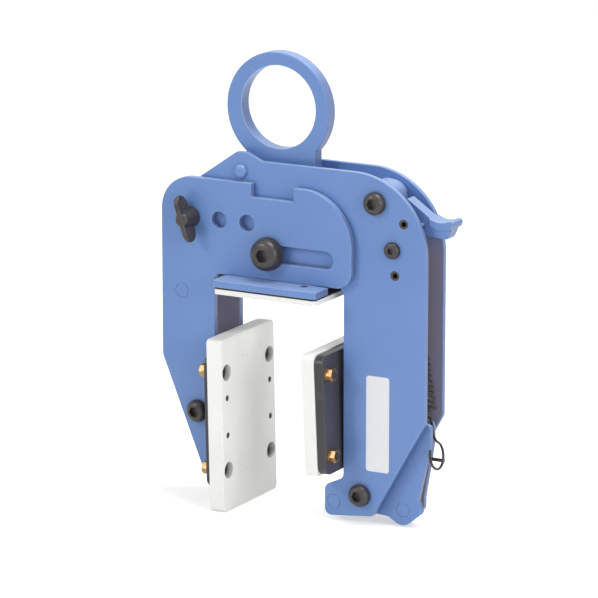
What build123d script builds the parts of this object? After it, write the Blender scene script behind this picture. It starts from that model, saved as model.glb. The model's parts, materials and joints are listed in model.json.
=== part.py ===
from build123d import *

import math
import os
from collections import namedtuple

# Panel lifting clamp, hanging by its eye. Millimetres, +Z up.
# X runs along the jaw opening, Y through the plates, and the front is at -Y.
# The origin is the centre of the eye's hole, on the mid plane between the plates.

# Plates through the depth
eye_thickness = 12.0
body_gap = 27.0
body_thickness = 4.5
arm_thickness = 6.0
slide_gap = 0.5

# Clearances
running = 0.05
press = 0.02
side_gap = 0.4
wire_gap = 0.3
edge_round = 1.0

# Lifting eye
eye_bore_d = 70.0
eye_rim_d = 96.0
eye_rim_x = -1.0
eye_rim_drop = 2.0
shank_left = -39.0
shank_right = 34.5
shank_top_z = -43.0
shank_bottom_z = -105.0
shank_round = 6.0
guide_leg_width = 21.0

# Guide pins that keep the eye upright
guide_x = -28.8
guide_top_z = -54.6
guide_low_z = -83.0
guide_pin_d = 12.0
guide_end_d = 10.0
guide_head_h = 4.2
guide_play = 0.3
guide_wall = 5.0

# Body plate outline
body_top_z = -44.5
body_left = -85.0
body_right = 144.2
body_corner_r = 67.0
body_end_r = 8.0
shoulder_z = -38.3
shoulder_left = -33.0
shoulder_right = -24.0
shoulder_foot = -9.0
shoulder_slope = 34.6
shoulder_r = 4.0
leg_inner = 68.0
leg_inner_r = 9.0
foot_left = 50.5
foot_top_z = -313.0
foot_neck_z = -305.0
foot_bottom_z = -339.3
foot_r = 6.0
heel_x = 96.2
heel_z = -334.5
cut_top_z = -249.0
cut_r = 6.0

# Stays that hold the body plates apart
foot_stay_x = 59.1
foot_stay_z = -326.1
beam_stay_x = -71.0
beam_stay_z = -124.0
stay_d = 16.0
stay_end_d = 12.0

# Rocker between the eye and the link
rocker_x = 97.3
rocker_z = -68.6
rocker_reach = 77.8
rocker_link_arm = 26.7
rocker_dip = 14.4
rocker_turn = 22.0
rocker_thickness = 6.5
rocker_hub_d = 34.0
rocker_rear_hub_d = 30.0
rocker_end_d = 26.0
link_swing = 22.5
rocker_pin_d = 12.0
rocker_notch_width = 6.0
rocker_notch_depth = 3.0

# Pull link
link_thickness = 6.0
link_end_d = 20.0
link_play = 1.3
link_spacer_d = 20.0

# Jaw lever
jaw_x = 84.3
jaw_z = -317.5
link_low_x = 118.9
link_low_z = -328.0
pad_pivot_x = 80.0
pad_pivot_z = -246.5
lever_thickness = 4.5
lever_pin_d = 12.0
lever_head_d = 23.0
lever_root_d = 32.0
lever_lobe_d = 28.0
lever_right = 144.4
lever_rear_right = 141.0
lever_top_z = -253.0
lever_side_z = -269.3
lever_waist_x = 133.2
lever_waist_z = -318.4
lever_spur = 4.3
lever_rear_spur = -0.4
lever_round = 4.0
lever_spacer_d = 26.0
spring_post_in = 131.0
spring_post_d = 3.0
spring_post_head_d = 4.6
spring_post_head_h = 1.2

# Pads and their backing plates
pad_width = 90.0
pad_corner_r = 4.0
fixed_face_x = -32.0
fixed_pad_thickness = 14.0
fixed_top_z = -195.0
fixed_height = 148.4
fixed_backing_thickness = 3.5
fixed_backing_top_z = -210.0
fixed_backing_height = 113.0
fixed_pivot_x = -67.5
fixed_pivot_z = -263.0
fixed_swing = 1.7
fixed_lean = 1.2
jaw_face_x = 44.2
jaw_pad_thickness = 12.0
jaw_top_z = -195.0
jaw_height = 103.0
jaw_backing_thickness = 8.0
jaw_backing_inset = 1.0
jaw_lean = 2.5
backing_width = 88.0
backing_corner_r = 8.0
pad_bolt_y = 36.0
fixed_bolt_high_z = -224.0
fixed_bolt_low_z = -308.0
fixed_hole_high_z = -246.0
fixed_hole_low_z = -278.0
small_hole_d = 5.0
jaw_bolt_high_z = -212.0
jaw_bolt_low_z = -281.0
counterbore_d = 14.0
counterbore_depth = 8.5

# Brackets between the backing plates and their pivots
bracket_base = 5.0
bracket_base_height = 46.0
bracket_ear = 6.0
bracket_end_d = 26.0
bracket_gap = 0.8
jaw_bracket_end_d = 21.0
jaw_bracket_base_height = 40.0

# Arm plate outline
arm_left = -102.0
arm_right = 78.7
arm_top_z = -62.5
arm_rear_drop = 12.0
arm_left_r = 29.0
arm_right_r = 47.0
arm_foot_r = 15.0
arm_inner_r = 6.0
notch_land = 6.4
notch_width = 40.0
notch_depth = 11.6
notch_r = 1.0
taper_top_z = -218.0
taper_r = 14.0
tip_width = 10.5
tip_z = -316.0
tip_r = 5.0
arm_stay_x = -82.7
arm_stay_z = -160.4

# Slide of the arm: slot, index holes and wing bolt
index_pitch = 26.5
index_steps = 2
index_x = -20.0
index_z = -96.5
index_d = 14.0
slot_width = 15.0
slot_play = 0.3
guide_bolt_x = 1.0
guide_bolt_z = -120.0
wing_screw_d = 10.0
wing_span = 40.0
wing_height = 16.5
wing_thickness = 4.4
wing_rise = 2.5
wing_tilt = 107.9
wing_hub_d = 17.0
wing_nose_d = 11.0
wing_hub_h = 17.5
wing_edge = 1.5

# Rest under the beam
rest_left = -40.5
rest_right = 57.5
rest_width = 94.0
rest_z = -142.4
rest_thickness = 6.0
rest_backing = 1.5
rest_pad_thickness = 4.5
rest_inset = 1.0
rest_corner_r = 3.0
rest_relief = 12.0
rest_screw_left = 8.0
rest_screw_right = 20.0
rest_screw_left_y = 9.0
rest_screw_right_y = 30.0
rest_screw_d = 3.5
rest_screw_head_d = 6.5
rest_screw_head_h = 1.6

# Lock lever and its hollow pivot pin
lock_x = 123.0
lock_z = -83.6
lock_thickness = 12.0
lock_boss_d = 18.0
lock_collar_d = 14.0
lock_nose_x = 119.5
lock_nose_z = -63.8
lock_hollow_x = 148.0
lock_hollow_z = -82.8
lock_hollow_r = 16.0
lock_tip_x = 165.4
lock_tip_z = -77.3
lock_chin_x = 157.5
lock_chin_z = -95.0
lock_tip_r = 3.0
lock_heel = 6.5
lock_tab_left = 141.0
lock_tab_rear = 10.5
lock_tab_lip = 1.5
lock_tab_thickness = 6.5
lock_peg_x = 134.0
lock_peg_z = -85.0
lock_peg_d = 3.0
lock_peg_h = 3.5
hollow_pin_d = 8.0
hollow_pin_bore = 4.4
hollow_pin_sink = 0.4

# Tension spring
spring_top_x = 115.3
spring_top_z = -127.4
spring_foot_x = 143.4
spring_foot_z = -291.3
spring_wire_d = 2.2
spring_coil_d = 13.6
spring_turns = 21
spring_top_leg = 16.0
spring_bend_r = 4.5
spring_low_leg = 10.0
spring_loop_lead = 19.0
spring_loop_d = 23.0
hook_sweep = 250.0
spring_loop_sweep = 212.0

# Return spring of the lock lever
lock_wire_d = 1.1
lock_coil_gap = 0.7
lock_coil_rise = 2.9
lock_leg_spare = 1.5

# Fasteners: thread, button head, socket, nut and washer
m12_d = 12.0
m12_head_d = 19.0
m12_head_h = 7.5
m12_socket = 8.0
m12_nut_flats = 18.0
m12_nut_h = 10.0
m12_sleeve_d = 18.0
m8_d = 8.0
m8_head_d = 14.0
m8_head_h = 4.6
m8_socket = 5.0
m8_nut_flats = 13.0
m8_nut_h = 6.5
m8_sleeve_d = 14.0
m6_d = 6.0
m6_cap_d = 10.0
m6_cap_h = 4.5
m6_socket = 4.0
m6_nut_flats = 10.0
m6_nut_h = 5.0
m6_washer_d = 12.0
m6_washer_h = 1.6
m6_thread_spare = 1.0
guide_head_d = 27.0
guide_head_height = 9.5
guide_socket = 10.0
guide_nut_flats = 22.0
guide_nut_h = 11.0
guide_sleeve_d = 22.0
guide_washer_d = 28.0
guide_washer_h = 2.5
thread_spare = 2.0
bolt_play = 0.1
stay_bolt_x = 113.3
stay_bolt_z = -106.2

# Blank label on the right leg
label_left = 89.5
label_right = 111.0
label_top_z = -214.0
label_bottom_z = -295.5
label_thickness = 0.3
label_corner_r = 2.5

# Depths and places that follow from the sizes above
body_inner = body_gap / 2
body_outer = body_inner + body_thickness
arm_inner = body_outer + slide_gap
arm_outer = arm_inner + arm_thickness
eye_half = eye_thickness / 2
rocker_inner = eye_half + side_gap
rocker_outer = rocker_inner + rocker_thickness
link_half = link_thickness / 2
lever_inner = link_half + side_gap
lever_outer = lever_inner + lever_thickness
lock_half = lock_thickness / 2
lock_collar = body_inner - side_gap
beam_bottom_z = rest_z + slide_gap
slide_travel = index_pitch * index_steps
slot_bolt_d = slot_width - 2 * slot_play

rocker_at = (rocker_x, rocker_z)
jaw_at = (jaw_x, jaw_z)
link_low_at = (link_low_x, link_low_z)
pad_pivot_at = (pad_pivot_x, pad_pivot_z)
spring_top_at = (spring_top_x, spring_top_z)
spring_down = (Vector(spring_foot_x, 0, spring_foot_z) - Vector(spring_top_x, 0, spring_top_z)).normalized()
spring_seat_at = (
    spring_foot_x - spring_bend_r * spring_down.Z,
    spring_foot_z + spring_bend_r * spring_down.X,
)
fixed_pivot_at = (fixed_pivot_x, fixed_pivot_z)
guide_bolt_at = (guide_bolt_x, guide_bolt_z)
stay_bolt_at = (stay_bolt_x, stay_bolt_z)
lock_at = (lock_x, lock_z)
foot_stay_at = (foot_stay_x, foot_stay_z)
beam_stay_at = (beam_stay_x, beam_stay_z)
arm_stay_at = (arm_stay_x, arm_stay_z)
guide_top_at = (guide_x, guide_top_z)
guide_low_at = (guide_x, guide_low_z)

dip = math.radians(rocker_dip)
lift = rocker_reach * (math.sin(math.radians(rocker_turn - rocker_dip)) + math.sin(dip))
eye_pin_at = (rocker_x - rocker_reach * math.cos(dip), rocker_z - rocker_reach * math.sin(dip))
link_top_at = (rocker_x - rocker_link_arm * math.cos(dip), rocker_z - rocker_link_arm * math.sin(dip))

fixed_backing_x = fixed_face_x - fixed_pad_thickness
fixed_rear_x = fixed_backing_x - fixed_backing_thickness
fixed_reach = max(fixed_backing_top_z - fixed_pivot_z, fixed_pivot_z - tip_z)
arm_leg_inner = fixed_rear_x - side_gap - fixed_reach * math.sin(math.radians(fixed_swing))
jaw_backing_x = jaw_face_x + jaw_pad_thickness
jaw_rear_x = jaw_backing_x + jaw_backing_thickness

Screw = namedtuple("Screw", "d head_d head_h socket nut_flats nut_h")
m12 = Screw(m12_d, m12_head_d, m12_head_h, m12_socket, m12_nut_flats, m12_nut_h)
m8 = Screw(m8_d, m8_head_d, m8_head_h, m8_socket, m8_nut_flats, m8_nut_h)
m6 = Screw(m6_d, m6_cap_d, m6_cap_h, m6_socket, m6_nut_flats, m6_nut_h)
guide_screw = Screw(slot_bolt_d, guide_head_d, guide_head_height, guide_socket, guide_nut_flats, guide_nut_h)


# Flat shapes: drawn with X to the right and Z up, then given a depth


def outline(*corners):
    """Face with the given (x, z, corner radius) corners."""
    points = [(x, z) for x, z, r in corners]
    return make_face(FilletPolyline(*points, radius=[r for x, z, r in corners], close=True))


def disc(at, diameter):
    return Pos(*at) * Circle(diameter / 2)


def box_face(left, right, bottom, top):
    return Pos((left + right) / 2, (bottom + top) / 2) * Rectangle(right - left, top - bottom)


def strap(first, first_d, second, second_d):
    """Two round ends and the straight sides that touch both."""
    run = Vector(*second) - Vector(*first)
    heading = math.atan2(run.Y, run.X)
    spread = math.acos((first_d - second_d) / 2 / run.length)

    def touch(at, diameter, side):
        angle = heading + side * spread
        return at[0] + diameter / 2 * math.cos(angle), at[1] + diameter / 2 * math.sin(angle)

    sides = Polyline(
        touch(first, first_d, 1),
        touch(second, second_d, 1),
        touch(second, second_d, -1),
        touch(first, first_d, -1),
        close=True,
    )
    return make_face(sides) + disc(first, first_d) + disc(second, second_d)


def slot(first, second, width):
    return strap(first, width, second, width)


def slab(face, front, rear):
    """Prism of a face from depth front to depth rear."""
    return extrude(Plane.XZ.offset(-rear) * face, amount=rear - front)


def rod(at, diameter, front, rear):
    return slab(disc(at, diameter), front, rear)


def tube(at, diameter, bore, front, rear):
    return slab(disc(at, diameter) - disc(at, bore), front, rear)


def rear_of(piece):
    return mirror(piece, about=Plane.XZ)


def group(*solids):
    return Compound(children=list(solids))


# Fasteners, with their axes along Y


def hex_face(at, flats):
    return Pos(*at) * RegularPolygon(flats / 2, 6, major_radius=False)


def button_bolt(at, screw, seat, tip):
    """Button head bolt: the head stands in front of the seat and the thread ends at the tip."""
    head = rod(at, screw.head_d, seat - screw.head_h, seat)
    crown = head.edges().filter_by(GeomType.CIRCLE).sort_by(Axis.Y)[0]
    head = fillet(crown, screw.head_h * 0.7)
    socket_floor = seat - screw.head_h * 0.4
    socket = slab(hex_face(at, screw.socket), seat - screw.head_h, socket_floor)
    return head - socket + rod(at, screw.d, seat, tip)


def hex_nut(at, screw, seat):
    """Nut behind its seat, with the corners of both faces bevelled."""
    across_corners = screw.nut_flats / math.cos(math.pi / 6)
    bevel = (across_corners - screw.nut_flats) / 2
    round_blank = rod(at, across_corners, seat, seat + screw.nut_h)
    round_blank = chamfer(round_blank.edges().filter_by(GeomType.CIRCLE), bevel * 0.6, bevel)
    prism = slab(hex_face(at, screw.nut_flats) - disc(at, screw.d + 2 * press), seat, seat + screw.nut_h)
    return prism & round_blank


def hollow_pin(at):
    reach = body_outer - hollow_pin_sink
    return tube(at, hollow_pin_d, hollow_pin_bore, -reach, reach)


def shoulder_pin(at, diameter, end_d, shoulder, reach):
    """Pin that holds two plates apart on its shoulders, with ends through both."""
    return rod(at, diameter, -shoulder, shoulder) + rod(at, end_d, -reach, reach)


# Lifting eye


def lifting_eye():
    leg_bottom = guide_low_z - lift - guide_pin_d / 2 - guide_play - guide_wall
    leg_right = shank_left + guide_leg_width
    shank = outline(
        (shank_right, -eye_rim_drop, 0),
        (shank_right, shank_bottom_z, shank_round),
        (leg_right, shank_bottom_z, shank_round),
        (leg_right, leg_bottom, shank_round),
        (shank_left, leg_bottom, shank_round),
        (shank_left, shank_top_z, shank_round),
        (eye_rim_x, shank_top_z, 0),
        (eye_rim_x, -eye_rim_drop, 0),
    )
    guide_slot = slot(
        guide_top_at,
        (guide_x, guide_low_z - lift),
        guide_pin_d + 2 * guide_play,
    )
    pin_swing = rocker_reach * (1 - math.cos(dip))
    pin_slot = slot(
        eye_pin_at,
        (eye_pin_at[0] - pin_swing, eye_pin_at[1]),
        rocker_pin_d + 2 * guide_play,
    )
    face = disc((eye_rim_x, -eye_rim_drop), eye_rim_d) + shank
    blank = slab(face, -eye_half, eye_half)
    rims = [edge for side in (blank.faces().sort_by(Axis.Y)[0], blank.faces().sort_by(Axis.Y)[-1])
            for edge in side.edges()]
    blank = fillet(rims, edge_round)
    return blank - slab(disc((0, 0), eye_bore_d) + guide_slot + pin_slot, -eye_half, eye_half)


def eye_guide_pins():
    top = shoulder_pin(guide_top_at, guide_pin_d, guide_end_d, body_inner, body_outer)
    dome = rod(guide_top_at, guide_pin_d, -body_outer - guide_head_h, -body_outer)
    dome = fillet(dome.edges().filter_by(GeomType.CIRCLE).sort_by(Axis.Y)[0], guide_head_h * 0.95)
    low = shoulder_pin(guide_low_at, guide_pin_d, guide_end_d, body_inner, body_outer)
    return group(top + dome, low)


# Body


def body_face():
    left_z = shoulder_z - (shoulder_left - body_left) * math.tan(math.radians(shoulder_slope))
    plate = outline(
        (shoulder_foot, body_top_z, shoulder_r),
        (body_right, body_top_z, body_corner_r),
        (body_right, cut_top_z, cut_r),
        (heel_x, heel_z, foot_r),
        (foot_left, foot_bottom_z, foot_r),
        (foot_left, foot_top_z, foot_r),
        (leg_inner, foot_neck_z, foot_r),
        (leg_inner, beam_bottom_z, leg_inner_r),
        (body_left, beam_bottom_z, body_end_r),
        (body_left, left_z, body_end_r),
        (shoulder_left, shoulder_z, shoulder_r),
        (shoulder_right, shoulder_z, shoulder_r),
    )
    holes = [
        disc(rocker_at, m12_d + 2 * bolt_play),
        disc(jaw_at, m12_d + 2 * bolt_play),
        disc(stay_bolt_at, m8_d + 2 * bolt_play),
        disc(guide_bolt_at, slot_bolt_d + 2 * bolt_play),
        disc(guide_top_at, guide_end_d + 2 * press),
        disc(guide_low_at, guide_end_d + 2 * press),
        disc(foot_stay_at, stay_end_d + 2 * press),
        disc(beam_stay_at, stay_end_d + 2 * press),
        disc(lock_at, hollow_pin_d + 2 * press),
        disc(spring_top_at, hollow_pin_d + 2 * press),
    ]
    return plate - holes


def body_plate():
    return slab(body_face(), -body_outer, -body_inner)


def body_stays():
    return group(*[shoulder_pin(at, stay_d, stay_end_d, body_inner, body_outer)
                   for at in (foot_stay_at, beam_stay_at)])


def body_sleeve(at, diameter, bore):
    return tube(at, diameter, bore + 2 * bolt_play, -body_inner, body_inner)


def body_bolt(at, screw):
    return button_bolt(at, screw, -body_outer, body_outer + screw.nut_h + thread_spare)


def guide_bolt():
    seat = arm_outer + slot_play / 2 + guide_washer_h
    return button_bolt(guide_bolt_at, guide_screw, -seat, seat + guide_nut_h + thread_spare)


def guide_washer():
    seat = arm_outer + slot_play / 2
    return tube(guide_bolt_at, guide_washer_d, slot_bolt_d + 2 * bolt_play, -seat - guide_washer_h, -seat)


def blank_label():
    face = outline(
        (label_left, label_bottom_z, label_corner_r),
        (label_right, label_bottom_z, label_corner_r),
        (label_right, label_top_z, label_corner_r),
        (label_left, label_top_z, label_corner_r),
    )
    return slab(face, -body_outer - label_thickness, -body_outer)


# Rocker and link


def rocker_plate(hub_d):
    nose = math.atan2(lock_nose_z - rocker_z, lock_nose_x - rocker_x)
    notch_at = rocker_hub_d / 2
    notch = Pos(*rocker_at) * Rot(0, 0, math.degrees(nose)) * Pos(notch_at, 0) \
        * Rectangle(2 * rocker_notch_depth, rocker_notch_width)
    face = strap(rocker_at, hub_d, eye_pin_at, rocker_end_d) - notch
    face -= disc(rocker_at, m12_sleeve_d + 2 * running)
    face -= disc(eye_pin_at, rocker_pin_d + 2 * press)
    face -= disc(link_top_at, rocker_pin_d + 2 * press)
    return slab(face, -rocker_outer, -rocker_inner)


def rocker_core():
    """Filling of the hub between the plates, cut away where the link swings."""
    down = Vector(*link_low_at) - Vector(*link_top_at)
    face = disc(rocker_at, rocker_hub_d) - disc(rocker_at, m12_sleeve_d + 2 * running)
    for turn in (0, link_swing):
        end = Vector(*link_top_at) + down.rotate(Axis.Z, turn)
        face -= slot(link_top_at, (end.X, end.Y), link_end_d + 2 * link_play + 2 * side_gap)
    return slab(face, -rocker_inner, rocker_inner)


def rocker_pins():
    return group(*[rod(at, rocker_pin_d, -rocker_outer, rocker_outer) for at in (eye_pin_at, link_top_at)])


def link_spacers():
    bore = rocker_pin_d + 2 * press
    ring = tube(link_top_at, link_spacer_d, bore, -rocker_inner, -link_half - side_gap)
    return group(ring, rear_of(ring))


def pull_link():
    face = strap(link_low_at, link_end_d, link_top_at, link_end_d)
    face -= disc(link_low_at, lever_pin_d + 2 * running)
    face -= disc(link_top_at, rocker_pin_d + 2 * link_play)
    return slab(face, -link_half, link_half)


# Jaw lever


def lever_face(right, spur):
    """Plate of the lever: its right side, and how far its low corner stands out from its waist."""
    head = lever_head_d / 2
    root = lever_root_d / 2
    lobe = lever_lobe_d / 2
    plate = outline(
        (pad_pivot_x - head, pad_pivot_z + head, head * 0.95),
        (right, lever_top_z, lever_round),
        (right, lever_side_z, lever_round),
        (lever_waist_x, lever_waist_z, lever_round),
        (lever_waist_x + spur, link_low_z, lever_round),
        (link_low_x, link_low_z - lobe - lever_round / 2, lobe * 0.8),
        (link_low_x - lobe, jaw_z - root - lever_round / 2, lever_round),
        (jaw_x - root, jaw_z - root, root * 0.98),
    )
    plate -= disc(jaw_at, m12_sleeve_d + 2 * running)
    for at in (link_low_at, pad_pivot_at):
        plate -= disc(at, lever_pin_d + 2 * press)
    return plate


def lever_front():
    return slab(lever_face(lever_right, lever_spur), -lever_outer, -lever_inner)


def up_spring(rise):
    """Point in the plane of the spring's low loop, at a distance above the loop's lowest place."""
    return (spring_seat_at[0] - rise * spring_down.X, spring_seat_at[1] - rise * spring_down.Z)


def spring_post_place():
    """Middle of the post where the spring's loop lies under it: x, depth and height."""
    depth = (lever_inner + lever_outer) / 2
    loop_r = spring_loop_d / 2
    inner_r = loop_r - spring_wire_d / 2 - wire_gap
    sag = math.sqrt(inner_r ** 2 - (depth + spring_post_d / 2) ** 2)
    x, z = up_spring(loop_r - sag + spring_post_d / 2)
    return x, depth, z


def lever_rear():
    """The rear plate also holds the spring's post, in a hole in its right edge."""
    x, depth, z = spring_post_place()
    plate = slab(lever_face(lever_rear_right, lever_rear_spur), lever_inner, lever_outer)
    return plate - cross_rod(spring_post_in, x, spring_post_d + 2 * press, depth, z)


def spring_post():
    x, depth, z = spring_post_place()
    head_x = x + spring_wire_d / 2 + 2 * wire_gap
    shank = cross_rod(spring_post_in, head_x, spring_post_d, depth, z)
    return shank + cross_rod(head_x, head_x + spring_post_head_h, spring_post_head_d, depth, z)


def lever_spacers():
    bore = m12_sleeve_d + 2 * press
    ring = tube(jaw_at, lever_spacer_d, bore, -body_inner, -lever_outer - side_gap)
    return group(ring, rear_of(ring))


def lever_pins():
    return group(*[rod(at, lever_pin_d, -lever_outer, lever_outer) for at in (link_low_at, pad_pivot_at)])


# Pads: plates that stand across the jaw, with their axes along X


def standing_plate(x_low, x_high, width, bottom, top, corner):
    face = Plane.YZ.offset(x_low) * Pos(0, (bottom + top) / 2) * RectangleRounded(width, top - bottom, corner)
    return extrude(face, amount=x_high - x_low)


def cross_rod(x_low, x_high, diameter, y, z):
    return extrude(Plane.YZ.offset(x_low) * Pos(y, z) * Circle(diameter / 2), amount=x_high - x_low)


def four(high_z, low_z):
    return [(side * pad_bolt_y, z) for side in (-1, 1) for z in (high_z, low_z)]


def pad(face_x, back_x, bottom, top, bolts):
    """Pad with its counterbored bolt holes."""
    inward = math.copysign(1, back_x - face_x)
    floor_x = face_x + inward * counterbore_depth
    block = standing_plate(min(face_x, back_x), max(face_x, back_x), pad_width, bottom, top, pad_corner_r)
    block = fillet(block.faces().sort_by(Axis.X)[-1 if inward < 0 else 0].edges(), edge_round)
    for y, z in bolts:
        block -= cross_rod(min(face_x, back_x), max(face_x, back_x), m6_d + 2 * bolt_play, y, z)
        block -= cross_rod(min(face_x, floor_x), max(face_x, floor_x), counterbore_d, y, z)
    return block


def backing(x_low, x_high, bottom, top, bolts):
    plate = standing_plate(x_low, x_high, backing_width, bottom, top, backing_corner_r)
    for y, z in bolts:
        plate -= cross_rod(x_low, x_high, m6_d + 2 * bolt_play, y, z)
    return plate


def along_x(piece, x, inward, y, z):
    """Turns a fastener made about the Y axis so that its seat lies at x and its thread points inward."""
    return Pos(x, y, z) * Rot(0, 0, -90 * inward) * piece


def pad_bolts(face_x, rear_x, bolts):
    """Bolts from the counterbores in a pad's face through its backing plate, the washers and the nuts."""
    inward = math.copysign(1, rear_x - face_x)
    grip = abs(rear_x - face_x) - counterbore_depth + m6_washer_h + m6_nut_h + m6_thread_spare
    head = rod((0, 0), m6_cap_d, -m6_cap_h, 0)
    head -= slab(hex_face((0, 0), m6_socket), -m6_cap_h, -m6_cap_h / 2)
    bolt = head + rod((0, 0), m6_d, 0, grip)
    return [along_x(bolt, face_x + inward * counterbore_depth, inward, y, z) for y, z in bolts]


def pad_washers(rear_x, inward, bolts):
    washer = tube((0, 0), m6_washer_d, m6_d + 2 * bolt_play, 0, m6_washer_h)
    return [along_x(washer, rear_x, inward, y, z) for y, z in bolts]


def pad_nuts(rear_x, inward, bolts):
    nut = hex_nut((0, 0), m6, m6_washer_h)
    return [along_x(nut, rear_x, inward, y, z) for y, z in bolts]


def leant(piece, at, angle):
    """Turns a piece of a jaw about the jaw's pivot, so that its low end moves to the right."""
    return piece.rotate(Axis((at[0], 0, at[1]), (0, -1, 0)), angle)


def fixed_leant(piece):
    return leant(piece, fixed_pivot_at, fixed_lean)


def jaw_leant(piece):
    return leant(piece, pad_pivot_at, jaw_lean)


# Fixed pad and its bracket, made upright and then leant


fixed_bolts = four(fixed_bolt_high_z, fixed_bolt_low_z)
fixed_bottom_z = fixed_top_z - fixed_height


def fixed_pad():
    block = pad(fixed_face_x, fixed_backing_x, fixed_bottom_z, fixed_top_z, fixed_bolts)
    for y, z in four(fixed_hole_high_z, fixed_hole_low_z):
        block -= cross_rod(fixed_backing_x, fixed_face_x, small_hole_d, y, z)
    return block


def fixed_backing():
    bottom = fixed_backing_top_z - fixed_backing_height
    return backing(fixed_rear_x, fixed_backing_x, bottom, fixed_backing_top_z, fixed_bolts)


def fixed_bracket():
    outer = arm_inner - bracket_gap
    base_x = fixed_rear_x - bracket_base
    half = bracket_base_height / 2
    base = slab(
        box_face(base_x, fixed_rear_x, fixed_pivot_z - half, fixed_pivot_z + half),
        -outer,
        outer,
    )
    half = bracket_end_d / 2
    reach = box_face(fixed_pivot_x, base_x, fixed_pivot_z - half, fixed_pivot_z + half)
    ear_face = reach + disc(fixed_pivot_at, bracket_end_d) - disc(fixed_pivot_at, m12_sleeve_d + 2 * running)
    ear = slab(ear_face, -outer, bracket_ear - outer)
    return base + ear + rear_of(ear)


# Jaw pad and its bracket, made upright and then leant


jaw_bolts = four(jaw_bolt_high_z, jaw_bolt_low_z)
jaw_bottom_z = jaw_top_z - jaw_height


def jaw_pad():
    return pad(jaw_face_x, jaw_backing_x, jaw_bottom_z, jaw_top_z, jaw_bolts)


def jaw_backing():
    return backing(
        jaw_backing_x,
        jaw_rear_x,
        jaw_bottom_z + jaw_backing_inset,
        jaw_top_z - jaw_backing_inset,
        jaw_bolts,
    )


def jaw_bracket():
    half_depth = lever_inner - side_gap
    lug_face = strap(pad_pivot_at, jaw_bracket_end_d, (jaw_rear_x, pad_pivot_z), jaw_bracket_base_height)
    lug_face &= box_face(jaw_rear_x, pad_pivot_x + jaw_bracket_end_d, jaw_bottom_z, jaw_top_z)
    lug_face -= disc(pad_pivot_at, lever_pin_d + 2 * running)
    return slab(lug_face, -half_depth, half_depth)


# Arm


def arm_notch():
    right = arm_right - arm_right_r - notch_r - notch_land
    left = right - notch_width
    floor_z = arm_top_z - notch_depth
    return [
        (left, arm_top_z, notch_r),
        (left, floor_z, notch_r),
        (right, floor_z, notch_r),
        (right, arm_top_z, notch_r),
    ]


def arm_plate(top_z, notch):
    """Plate of the arm: its top runs between the corners, with the notch's corners on it."""
    tip_outer = arm_leg_inner - tip_width
    plate = outline(
        (arm_left, top_z, arm_left_r),
        *notch,
        (arm_right, top_z, arm_right_r),
        (arm_right, rest_z, arm_foot_r),
        (arm_leg_inner, rest_z, arm_inner_r),
        (arm_leg_inner, tip_z, tip_r),
        (tip_outer, tip_z, tip_r),
        (arm_left, taper_top_z, taper_r),
    )
    plate -= slot(guide_bolt_at, (guide_bolt_x + slide_travel, guide_bolt_z), slot_width)
    for step in range(index_steps):
        plate -= disc((index_x - step * index_pitch, index_z), index_d)
    plate -= disc((index_x - index_steps * index_pitch, index_z), wing_screw_d + 2 * running)
    plate -= disc(arm_stay_at, stay_end_d + 2 * press)
    plate -= disc(fixed_pivot_at, m12_d + 2 * bolt_play)
    return slab(plate, -arm_outer, -arm_inner)


def arm_stay():
    return shoulder_pin(arm_stay_at, stay_d, stay_end_d, arm_inner, arm_outer)


def fixed_pivot_bolt():
    return button_bolt(fixed_pivot_at, m12, -arm_outer, arm_outer + m12_nut_h + thread_spare)


def fixed_pivot_sleeve():
    return tube(fixed_pivot_at, m12_sleeve_d, m12_d + 2 * bolt_play, -arm_inner, arm_inner)


def wing_bolt():
    """Wing bolt made along +Z, then laid with its wings to the front."""
    hub = Pos(0, 0, wing_hub_h / 2) * Cone(wing_hub_d / 2, wing_nose_d / 2, wing_hub_h)
    hub = fillet(hub.edges().filter_by(GeomType.CIRCLE).sort_by(Axis.Z)[-1], wing_edge)
    wing_face = Plane.XZ * Pos(0, wing_rise + wing_height / 2) * SlotOverall(wing_span, wing_height)
    wings = extrude(wing_face, amount=wing_thickness / 2, both=True)
    wings = fillet(wings.edges().filter_by(GeomType.LINE, reverse=True), wing_edge)
    screw_length = arm_thickness + slide_gap - running
    screw = Pos(0, 0, -screw_length / 2) * Cylinder(wing_screw_d / 2, screw_length)
    wing_x = index_x - index_steps * index_pitch
    return Pos(wing_x, -arm_outer, index_z) * Rot(90, 0, 0) * Rot(0, 0, wing_tilt) * (hub + wings + screw)


# Rest under the beam


def rest_layer(inset, top, thickness):
    face = Pos((rest_left + rest_right) / 2, 0, top - thickness) * RectangleRounded(
        rest_right - rest_left - 2 * inset, rest_width - 2 * inset, rest_corner_r)
    return extrude(face, amount=thickness)


rest_screw_places = [(rest_left + rest_screw_left, side * rest_screw_left_y) for side in (-1, 1)]
rest_screw_places += [(rest_right - rest_screw_right, side * rest_screw_right_y) for side in (-1, 1)]
rest_stack = rest_thickness + rest_backing + rest_pad_thickness


def rest_screw(play):
    """Countersunk screw from the top of the rest plate into the pad."""
    head = Pos(0, 0, -rest_screw_head_h / 2) * Cone(
        rest_screw_d / 2 + play, rest_screw_head_d / 2 + play, rest_screw_head_h)
    length = rest_stack - rest_pad_thickness / 2
    return head + Pos(0, 0, -length / 2) * Cylinder(rest_screw_d / 2 + play, length)


def rest_holes():
    return [Pos(x, y, rest_z) * rest_screw(press) for x, y in rest_screw_places]


def rest_plate():
    """Plate with a relief in its right end, where it passes under the arm plates."""
    relief_y = 2 * (arm_outer + slide_gap)
    relief = Pos(rest_right, 0, rest_z) * Box(2 * rest_relief, relief_y, 2 * rest_thickness)
    return rest_layer(0, rest_z, rest_thickness) - rest_holes() - relief


def rest_underlay():
    return rest_layer(rest_inset, rest_z - rest_thickness, rest_backing) - rest_holes()


def rest_pad():
    return rest_layer(rest_inset, rest_z - rest_thickness - rest_backing, rest_pad_thickness) - rest_holes()


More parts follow.
